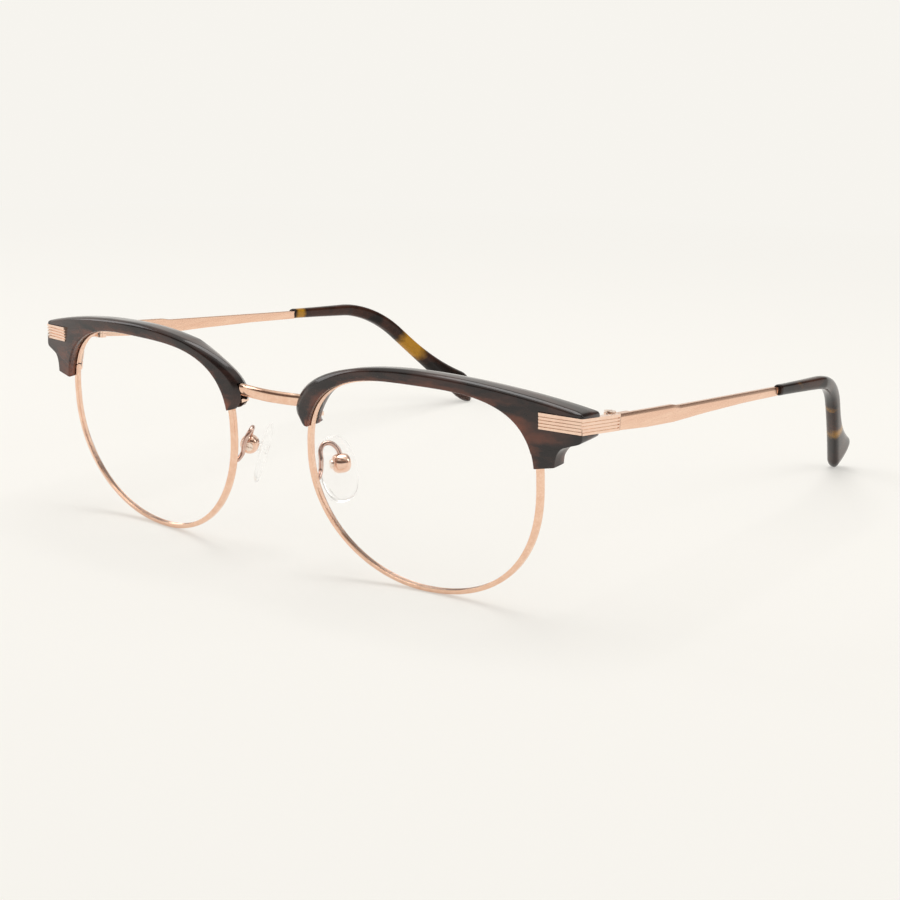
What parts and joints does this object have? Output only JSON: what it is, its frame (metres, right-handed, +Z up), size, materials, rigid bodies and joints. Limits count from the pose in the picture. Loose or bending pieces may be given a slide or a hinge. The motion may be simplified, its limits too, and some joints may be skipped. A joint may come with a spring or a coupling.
{
  "type": "browline spectacles",
  "caption": "Browline spectacles: metal eyewires under dark acetate brow bars, a bar bridge, adjustable nose pads and folding metal temples with bent acetate tips.",
  "frame": {"origin": "on the table plane, under the middle of the whole object with its temples open", "axes": "+X to the wearer's left, +Y from the front back along the temples, +Z up from the table that the eyewires and the temple tips stand on"},
  "size_m": [0.144, 0.1614, 0.0464],
  "materials": {
    "metal": "satin rose gold plating",
    "screw": "bright plated screw",
    "acetate": "polished dark tortoise cellulose acetate",
    "lens": "clear polished lens",
    "pad": "clear soft plastic"
  },
  "bodies": {
    "front": {"rim_left": "metal", "rim_right": "metal", "lens_left": "lens", "lens_right": "lens", "brow_left": "acetate", "brow_right": "acetate", "bridge": "metal", "brow_lug_left": "metal", "brow_lug_right": "metal", "brow_screw_left": "screw", "brow_screw_right": "screw", "rim_block_upper_left": "metal", "rim_block_upper_right": "metal", "rim_block_lower_left": "metal", "rim_block_lower_right": "metal", "rim_screw_left": "screw", "rim_screw_right": "screw", "pad_arm_left": "metal", "pad_arm_right": "metal", "pad_box_left": "metal", "pad_box_right": "metal", "pad_screw_left": "screw", "pad_screw_right": "screw", "end_piece_left": "metal", "end_piece_right": "metal", "end_rivets_left": "metal", "end_rivets_right": "metal", "hinge_front_left": "metal", "hinge_front_right": "metal", "hinge_screw_left": "screw", "hinge_screw_right": "screw"},
    "temple_left": {"hinge_temple_left": "metal", "temple_left": "metal", "temple_tip_left": "acetate"},
    "temple_right": {"hinge_temple_right": "metal", "temple_right": "metal", "temple_tip_right": "acetate"},
    "pad_left": {"nose_pad_left": "pad"},
    "pad_right": {"nose_pad_right": "pad"}
  },
  "joints": [
    {"name": "temple_fold_left", "type": "hinge", "parent": "front", "child": "temple_left", "pos_m": [0.06834, -0.05895, 0.03809], "axis": [0, 0.0784, 0.9969], "range_deg": [0, 90]},
    {"name": "temple_fold_right", "type": "hinge", "parent": "front", "child": "temple_right", "pos_m": [-0.06834, -0.05895, 0.03809], "axis": [0, -0.0784, -0.9969], "range_deg": [0, 85]},
    {"name": "pad_rock_left", "type": "hinge", "parent": "front", "child": "pad_left", "pos_m": [0.0124, -0.07075, 0.02236], "axis": [-0.5736, -0.8171, -0.0586], "range_deg": [-8, 8]},
    {"name": "pad_rock_right", "type": "hinge", "parent": "front", "child": "pad_right", "pos_m": [-0.0124, -0.07075, 0.02236], "axis": [-0.5736, 0.8171, 0.0586], "range_deg": [-8, 8]}
  ]
}
